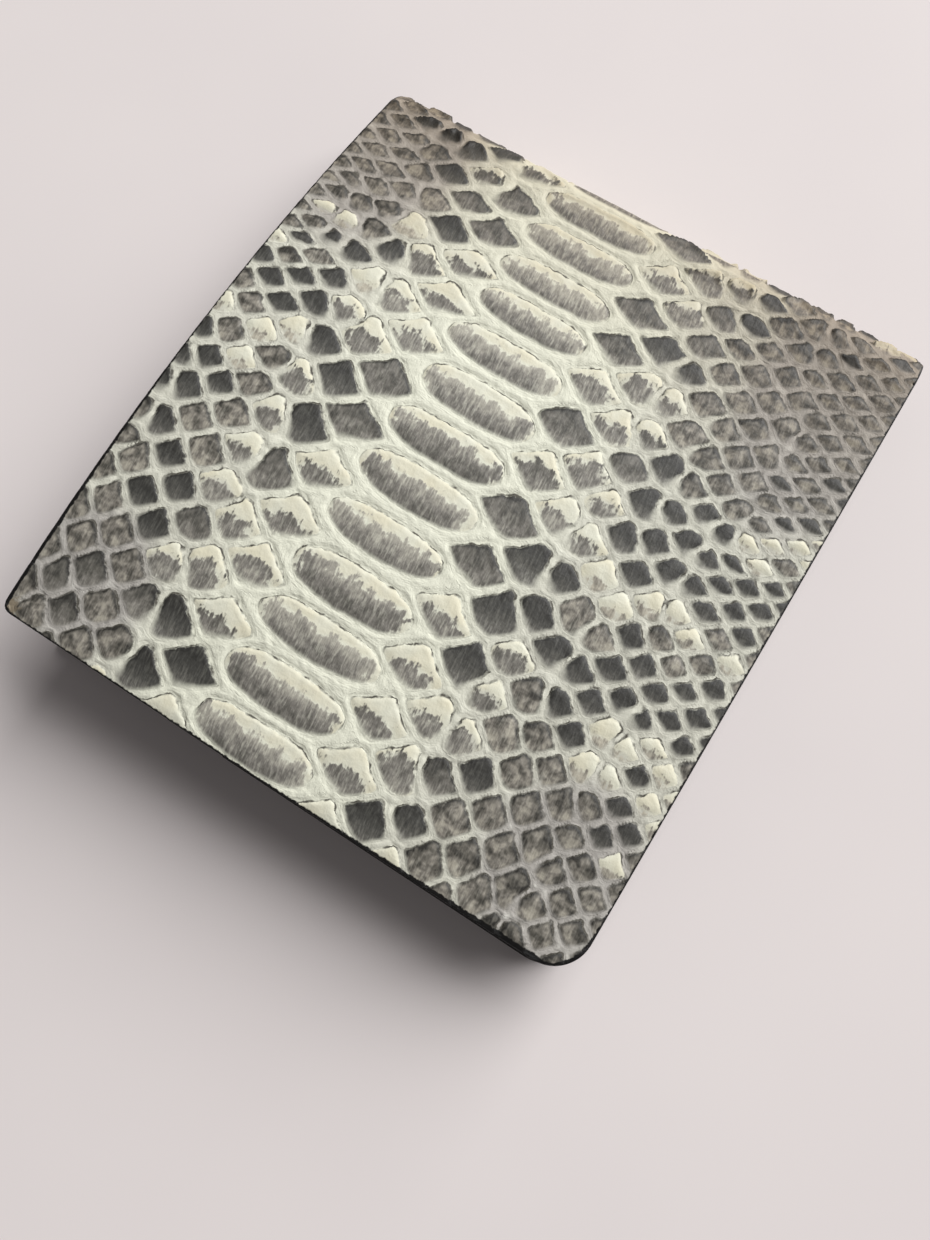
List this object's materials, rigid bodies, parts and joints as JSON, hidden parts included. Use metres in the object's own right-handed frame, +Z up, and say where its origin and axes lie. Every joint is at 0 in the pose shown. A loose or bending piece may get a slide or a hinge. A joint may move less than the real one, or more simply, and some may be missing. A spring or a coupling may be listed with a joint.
{
  "type": "bifold wallet",
  "caption": "Closed bifold wallet covered in natural python leather, with black lining and card pockets inside; opens at its leather fold.",
  "frame": {"origin": "under the middle of the closed wallet, on the surface it lies on", "axes": "+Z up, +X from the fold to the opening edge, +Y along the fold"},
  "size_m": [0.1106, 0.097, 0.0217],
  "materials": {
    "python_leather": "natural python leather, grey and cream, satin glazed",
    "black_leather": "fine grained black calf leather with painted edges"
  },
  "bodies": {
    "back": {"back_skin": "python_leather", "back_lining": "black_leather", "back_note_wall": "black_leather", "back_card_pocket_top": "black_leather", "back_card_pocket_middle": "black_leather", "back_card_pocket_bottom": "black_leather"},
    "spine": {"spine_skin": "python_leather", "spine_lining": "black_leather"},
    "front": {"front_skin": "python_leather", "front_lining": "black_leather", "front_note_wall": "black_leather", "front_card_pocket_top": "black_leather", "front_card_pocket_middle": "black_leather", "front_card_pocket_bottom": "black_leather"}
  },
  "joints": [
    {"name": "lower_fold", "type": "hinge", "parent": "back", "child": "spine", "pos_m": [-0.05302, 0, 0.00191], "axis": [0, -1, 0], "range_deg": [0, 86]},
    {"name": "upper_fold", "type": "hinge", "parent": "spine", "child": "front", "pos_m": [-0.05302, 0, 0.01109], "axis": [0, -1, 0], "range_deg": [0, 86]}
  ],
  "couplings": [
    {"joint": "lower_fold", "follows": "upper_fold", "ratio": 1}
  ]
}
